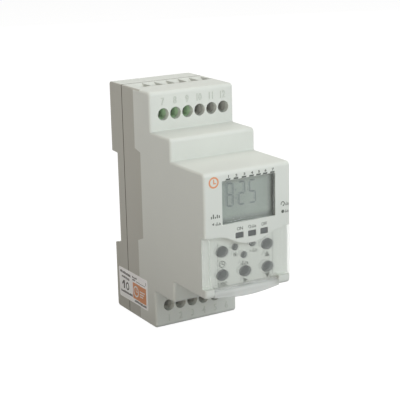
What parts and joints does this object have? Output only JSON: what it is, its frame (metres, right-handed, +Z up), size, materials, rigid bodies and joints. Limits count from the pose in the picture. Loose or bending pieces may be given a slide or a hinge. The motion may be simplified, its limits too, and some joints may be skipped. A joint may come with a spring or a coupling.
{
  "type": "digital timer switch",
  "caption": "Slim stepped time switch for a 35 mm rail, with a display, keys under a clear hinged flap, and screw terminals at both ends.",
  "frame": {"origin": "centre of the rail seat: halfway across the width, on the face that lies against the rail, level with the rail's middle", "axes": "+X to the right seen from the front, +Y to the rear along the rail seat's normal, +Z up"},
  "size_m": [0.0357, 0.07, 0.09],
  "materials": {
    "casing": "fine matt light grey plastic",
    "clear_pane": "polished clear plastic",
    "clear_flap": "polished clear plastic",
    "latch": "matt light grey plastic",
    "spring_steel": "bare spring steel",
    "label": "satin white film",
    "lcd": "grey liquid crystal display",
    "carrier": "matt white plastic",
    "elastomer": "matt conductive rubber",
    "circuit_board": "green solder mask",
    "dark_plastic": "matt black plastic",
    "battery_can": "nickel-plated steel",
    "relay_case": "matt blue plastic",
    "capacitor_case": "matt yellow plastic",
    "capacitor_sleeve": "shrink sleeve",
    "varistor_coat": "matt epoxy",
    "block_green": "matt green plastic",
    "block_grey": "matt dark grey plastic",
    "tinned_brass": "tin-plated brass",
    "keys": "matt grey plastic",
    "zinc_steel": "zinc-plated steel"
  },
  "bodies": {
    "casing": {"front_housing": "casing", "rear_cover": "casing", "display_window": "clear_pane", "rail_clip_spring": "spring_steel", "side_label": "label", "lcd_glass": "lcd", "lcd_frame": "carrier", "zebra_strips": "elastomer", "display_board": "circuit_board", "tact_switches": "dark_plastic", "microcontroller": "dark_plastic", "battery_holder": "dark_plastic", "backup_battery": "battery_can", "link_board": "circuit_board", "main_board": "circuit_board", "relays": "relay_case", "film_capacitor": "capacitor_case", "smoothing_capacitor": "capacitor_sleeve", "varistor": "varistor_coat", "terminal_block_7_9": "block_green", "terminal_block_10_12": "block_grey", "terminal_block_1_6": "block_grey", "contact_tongues": "tinned_brass"},
    "flap": {"button_cover": "clear_flap"},
    "rail_latch": {"rail_clip": "latch"},
    "key_channel_1_body": {"key_channel_1": "keys"},
    "key_auto_body": {"key_auto": "keys"},
    "key_channel_2_body": {"key_channel_2": "keys"},
    "key_clock_body": {"key_clock": "keys"},
    "key_prog_body": {"key_prog": "keys"},
    "key_enter_body": {"key_enter": "keys"},
    "key_up_body": {"key_up": "keys"},
    "key_down_body": {"key_down": "keys"},
    "key_mode_body": {"key_mode": "keys"},
    "key_random_body": {"key_random": "keys"},
    "key_hour_body": {"key_hour": "keys"},
    "screw_1": {"terminal_screw_1": "zinc_steel"},
    "cage_1": {"clamp_cage_1": "zinc_steel"},
    "screw_2": {"terminal_screw_2": "zinc_steel"},
    "cage_2": {"clamp_cage_2": "zinc_steel"},
    "screw_3": {"terminal_screw_3": "zinc_steel"},
    "cage_3": {"clamp_cage_3": "zinc_steel"},
    "screw_4": {"terminal_screw_4": "zinc_steel"},
    "cage_4": {"clamp_cage_4": "zinc_steel"},
    "screw_5": {"terminal_screw_5": "zinc_steel"},
    "cage_5": {"clamp_cage_5": "zinc_steel"},
    "screw_6": {"terminal_screw_6": "zinc_steel"},
    "cage_6": {"clamp_cage_6": "zinc_steel"},
    "screw_7": {"terminal_screw_7": "zinc_steel"},
    "cage_7": {"clamp_cage_7": "zinc_steel"},
    "screw_8": {"terminal_screw_8": "zinc_steel"},
    "cage_8": {"clamp_cage_8": "zinc_steel"},
    "screw_9": {"terminal_screw_9": "zinc_steel"},
    "cage_9": {"clamp_cage_9": "zinc_steel"},
    "screw_10": {"terminal_screw_10": "zinc_steel"},
    "cage_10": {"clamp_cage_10": "zinc_steel"},
    "screw_11": {"terminal_screw_11": "zinc_steel"},
    "cage_11": {"clamp_cage_11": "zinc_steel"},
    "screw_12": {"terminal_screw_12": "zinc_steel"},
    "cage_12": {"clamp_cage_12": "zinc_steel"}
  },
  "joints": [
    {"name": "flap_hinge", "type": "hinge", "parent": "casing", "child": "flap", "pos_m": [0, -0.064, -0.02135], "axis": [1, 0, 0], "range_deg": [0, 120]},
    {"name": "rail_latch_slide", "type": "slide", "parent": "casing", "child": "rail_latch", "axis": [0, 0, -1], "range_m": [0, 0.003], "stiffness_N_per_m": 900, "springref_m": -0.002, "deforming": ["rail_clip_spring"]},
    {"name": "key_channel_1_press", "type": "slide", "parent": "casing", "child": "key_channel_1_body", "axis": [0, 1, 0], "range_m": [0, 0.0005], "stiffness_N_per_m": 1500},
    {"name": "key_auto_press", "type": "slide", "parent": "casing", "child": "key_auto_body", "axis": [0, 1, 0], "range_m": [0, 0.0005], "stiffness_N_per_m": 1500},
    {"name": "key_channel_2_press", "type": "slide", "parent": "casing", "child": "key_channel_2_body", "axis": [0, 1, 0], "range_m": [0, 0.0005], "stiffness_N_per_m": 1500},
    {"name": "key_clock_press", "type": "slide", "parent": "casing", "child": "key_clock_body", "axis": [0, 1, 0], "range_m": [0, 0.0005], "stiffness_N_per_m": 1500},
    {"name": "key_prog_press", "type": "slide", "parent": "casing", "child": "key_prog_body", "axis": [0, 1, 0], "range_m": [0, 0.0005], "stiffness_N_per_m": 1500},
    {"name": "key_enter_press", "type": "slide", "parent": "casing", "child": "key_enter_body", "axis": [0, 1, 0], "range_m": [0, 0.0005], "stiffness_N_per_m": 1500},
    {"name": "key_up_press", "type": "slide", "parent": "casing", "child": "key_up_body", "axis": [0, 1, 0], "range_m": [0, 0.0005], "stiffness_N_per_m": 1500},
    {"name": "key_down_press", "type": "slide", "parent": "casing", "child": "key_down_body", "axis": [0, 1, 0], "range_m": [0, 0.0005], "stiffness_N_per_m": 1500},
    {"name": "key_mode_press", "type": "slide", "parent": "casing", "child": "key_mode_body", "axis": [0, 1, 0], "range_m": [0, 0.0005], "stiffness_N_per_m": 1500},
    {"name": "key_random_press", "type": "slide", "parent": "casing", "child": "key_random_body", "axis": [0, 1, 0], "range_m": [0, 0.0005], "stiffness_N_per_m": 1500},
    {"name": "key_hour_press", "type": "slide", "parent": "casing", "child": "key_hour_body", "axis": [0, 1, 0], "range_m": [0, 0.0005], "stiffness_N_per_m": 1500},
    {"name": "terminal_screw_1_turn", "type": "hinge", "parent": "casing", "child": "screw_1", "pos_m": [-0.01205, -0.0205, -0.03655], "axis": [0, 1, 0], "range_deg": [0, 2017]},
    {"name": "clamp_cage_1_lift", "type": "slide", "parent": "casing", "child": "cage_1", "axis": [0, -1, 0], "range_m": [0, 0.0028]},
    {"name": "terminal_screw_2_turn", "type": "hinge", "parent": "casing", "child": "screw_2", "pos_m": [-0.00697, -0.0205, -0.03655], "axis": [0, 1, 0], "range_deg": [0, 2017]},
    {"name": "clamp_cage_2_lift", "type": "slide", "parent": "casing", "child": "cage_2", "axis": [0, -1, 0], "range_m": [0, 0.0028]},
    {"name": "terminal_screw_3_turn", "type": "hinge", "parent": "casing", "child": "screw_3", "pos_m": [-0.00189, -0.0205, -0.03655], "axis": [0, 1, 0], "range_deg": [0, 2017]},
    {"name": "clamp_cage_3_lift", "type": "slide", "parent": "casing", "child": "cage_3", "axis": [0, -1, 0], "range_m": [0, 0.0028]},
    {"name": "terminal_screw_4_turn", "type": "hinge", "parent": "casing", "child": "screw_4", "pos_m": [0.00319, -0.0205, -0.03655], "axis": [0, 1, 0], "range_deg": [0, 2017]},
    {"name": "clamp_cage_4_lift", "type": "slide", "parent": "casing", "child": "cage_4", "axis": [0, -1, 0], "range_m": [0, 0.0028]},
    {"name": "terminal_screw_5_turn", "type": "hinge", "parent": "casing", "child": "screw_5", "pos_m": [0.00827, -0.0205, -0.03655], "axis": [0, 1, 0], "range_deg": [0, 2017]},
    {"name": "clamp_cage_5_lift", "type": "slide", "parent": "casing", "child": "cage_5", "axis": [0, -1, 0], "range_m": [0, 0.0028]},
    {"name": "terminal_screw_6_turn", "type": "hinge", "parent": "casing", "child": "screw_6", "pos_m": [0.01335, -0.0205, -0.03655], "axis": [0, 1, 0], "range_deg": [0, 2017]},
    {"name": "clamp_cage_6_lift", "type": "slide", "parent": "casing", "child": "cage_6", "axis": [0, -1, 0], "range_m": [0, 0.0028]},
    {"name": "terminal_screw_7_turn", "type": "hinge", "parent": "casing", "child": "screw_7", "pos_m": [-0.01205, -0.0205, 0.03655], "axis": [0, 1, 0], "range_deg": [0, 2017]},
    {"name": "clamp_cage_7_lift", "type": "slide", "parent": "casing", "child": "cage_7", "axis": [0, -1, 0], "range_m": [0, 0.0028]},
    {"name": "terminal_screw_8_turn", "type": "hinge", "parent": "casing", "child": "screw_8", "pos_m": [-0.00697, -0.0205, 0.03655], "axis": [0, 1, 0], "range_deg": [0, 2017]},
    {"name": "clamp_cage_8_lift", "type": "slide", "parent": "casing", "child": "cage_8", "axis": [0, -1, 0], "range_m": [0, 0.0028]},
    {"name": "terminal_screw_9_turn", "type": "hinge", "parent": "casing", "child": "screw_9", "pos_m": [-0.00189, -0.0205, 0.03655], "axis": [0, 1, 0], "range_deg": [0, 2017]},
    {"name": "clamp_cage_9_lift", "type": "slide", "parent": "casing", "child": "cage_9", "axis": [0, -1, 0], "range_m": [0, 0.0028]},
    {"name": "terminal_screw_10_turn", "type": "hinge", "parent": "casing", "child": "screw_10", "pos_m": [0.00319, -0.0205, 0.03655], "axis": [0, 1, 0], "range_deg": [0, 2017]},
    {"name": "clamp_cage_10_lift", "type": "slide", "parent": "casing", "child": "cage_10", "axis": [0, -1, 0], "range_m": [0, 0.0028]},
    {"name": "terminal_screw_11_turn", "type": "hinge", "parent": "casing", "child": "screw_11", "pos_m": [0.00827, -0.0205, 0.03655], "axis": [0, 1, 0], "range_deg": [0, 2017]},
    {"name": "clamp_cage_11_lift", "type": "slide", "parent": "casing", "child": "cage_11", "axis": [0, -1, 0], "range_m": [0, 0.0028]},
    {"name": "terminal_screw_12_turn", "type": "hinge", "parent": "casing", "child": "screw_12", "pos_m": [0.01335, -0.0205, 0.03655], "axis": [0, 1, 0], "range_deg": [0, 2017]},
    {"name": "clamp_cage_12_lift", "type": "slide", "parent": "casing", "child": "cage_12", "axis": [0, -1, 0], "range_m": [0, 0.0028]}
  ],
  "couplings": [
    {"joint": "terminal_screw_1_turn", "follows": "clamp_cage_1_lift", "rad_per_m": 12566},
    {"joint": "terminal_screw_2_turn", "follows": "clamp_cage_2_lift", "rad_per_m": 12566},
    {"joint": "terminal_screw_3_turn", "follows": "clamp_cage_3_lift", "rad_per_m": 12566},
    {"joint": "terminal_screw_4_turn", "follows": "clamp_cage_4_lift", "rad_per_m": 12566},
    {"joint": "terminal_screw_5_turn", "follows": "clamp_cage_5_lift", "rad_per_m": 12566},
    {"joint": "terminal_screw_6_turn", "follows": "clamp_cage_6_lift", "rad_per_m": 12566},
    {"joint": "terminal_screw_7_turn", "follows": "clamp_cage_7_lift", "rad_per_m": 12566},
    {"joint": "terminal_screw_8_turn", "follows": "clamp_cage_8_lift", "rad_per_m": 12566},
    {"joint": "terminal_screw_9_turn", "follows": "clamp_cage_9_lift", "rad_per_m": 12566},
    {"joint": "terminal_screw_10_turn", "follows": "clamp_cage_10_lift", "rad_per_m": 12566},
    {"joint": "terminal_screw_11_turn", "follows": "clamp_cage_11_lift", "rad_per_m": 12566},
    {"joint": "terminal_screw_12_turn", "follows": "clamp_cage_12_lift", "rad_per_m": 12566}
  ]
}
